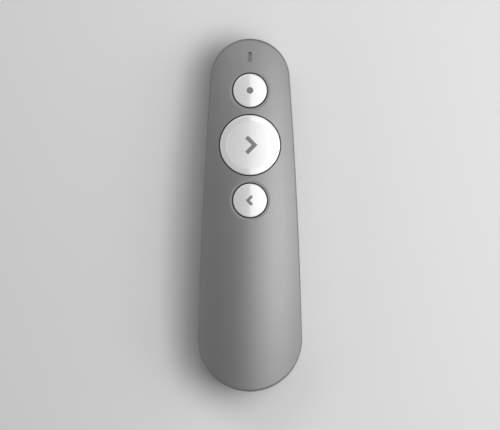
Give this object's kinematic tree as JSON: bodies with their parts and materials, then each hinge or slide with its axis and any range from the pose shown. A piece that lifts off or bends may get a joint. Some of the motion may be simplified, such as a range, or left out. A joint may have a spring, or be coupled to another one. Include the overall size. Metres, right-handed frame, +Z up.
{
  "type": "wireless presentation clicker",
  "caption": "Handheld presentation clicker with a crowned drop-shaped body, round push buttons, a laser in the nose and a battery cover that slides off.",
  "frame": {"origin": "centre of the bounding box's bottom face, on the flat of the belly", "axes": "+X across the body, +Y towards the nose where the laser leaves, +Z up out of the buttons"},
  "size_m": [0.0402, 0.136, 0.0242],
  "materials": {
    "body_paint": "fine textured dark grey paint",
    "button_white": "satin white",
    "mark_grey": "flat grey inlay",
    "light_lens": "smoked translucent",
    "laser_glass": "dark red tinted",
    "foam": "open foam",
    "board_mask": "green solder mask",
    "black_resin": "moulded epoxy",
    "bright_steel": "nickel plated",
    "brass": "turned",
    "ceramic": "fired ceramic",
    "led_resin": "clear resin",
    "lens_glass": "polished",
    "cell_sleeve": "printed sleeve",
    "receiver_black": "satin black",
    "tongue_black": "moulded",
    "screw_steel": "black oxide"
  },
  "bodies": {
    "housing": {"upper_shell": "body_paint", "lower_shell": "body_paint", "laser_window": "laser_glass", "light_pipe": "light_lens", "circuit_board": "board_mask", "radio_chip": "black_resin", "radio_crystal": "bright_steel", "chip_antenna": "ceramic", "power_chip": "black_resin", "power_coil": "black_resin", "small_capacitors": "ceramic", "status_led": "led_resin", "laser_barrel": "brass", "laser_lens": "lens_glass", "laser_diode": "bright_steel", "laser_driver": "board_mask", "laser_pins": "bright_steel", "left_cell": "cell_sleeve", "right_cell": "cell_sleeve", "positive_contact": "bright_steel", "negative_contact": "bright_steel", "bridge_contact": "bright_steel", "receiver_cap": "receiver_black", "receiver_plug": "bright_steel", "receiver_tongue": "tongue_black", "case_screws": "screw_steel", "board_screws": "screw_steel", "laser_switch": "black_resin", "laser_switch_plate": "bright_steel", "laser_dome": "bright_steel", "next_switch": "black_resin", "next_switch_plate": "bright_steel", "next_dome": "bright_steel", "back_switch": "black_resin", "back_switch_plate": "bright_steel", "back_dome": "bright_steel"},
    "cover": {"battery_cover": "body_paint", "cover_pad": "foam"},
    "laser_key": {"laser_button": "button_white", "laser_mark": "mark_grey"},
    "next_key": {"next_button": "button_white", "next_mark": "mark_grey"},
    "back_key": {"back_button": "button_white", "back_mark": "mark_grey"},
    "laser_plunger": {"laser_stem": "black_resin"},
    "next_plunger": {"next_stem": "black_resin"},
    "back_plunger": {"back_stem": "black_resin"}
  },
  "joints": [
    {"name": "laser_press", "type": "slide", "parent": "housing", "child": "laser_key", "axis": [0, 0, -1], "range_m": [0, 0.0004], "stiffness_N_per_m": 4000},
    {"name": "laser_plunge", "type": "slide", "parent": "housing", "child": "laser_plunger", "axis": [0, 0, -1], "range_m": [0, 0.0004], "deforming": ["laser_dome"]},
    {"name": "next_press", "type": "slide", "parent": "housing", "child": "next_key", "axis": [0, 0, -1], "range_m": [0, 0.0004], "stiffness_N_per_m": 4000},
    {"name": "next_plunge", "type": "slide", "parent": "housing", "child": "next_plunger", "axis": [0, 0, -1], "range_m": [0, 0.0004], "deforming": ["next_dome"]},
    {"name": "back_press", "type": "slide", "parent": "housing", "child": "back_key", "axis": [0, 0, -1], "range_m": [0, 0.0004], "stiffness_N_per_m": 4000},
    {"name": "back_plunge", "type": "slide", "parent": "housing", "child": "back_plunger", "axis": [0, 0, -1], "range_m": [0, 0.0004], "deforming": ["back_dome"]},
    {"name": "cover_slide", "type": "slide", "parent": "housing", "child": "cover", "axis": [0, -1, 0], "range_m": [0, 0.085]}
  ],
  "couplings": [
    {"joint": "laser_plunge", "follows": "laser_press", "ratio": 1},
    {"joint": "next_plunge", "follows": "next_press", "ratio": 1},
    {"joint": "back_plunge", "follows": "back_press", "ratio": 1}
  ]
}
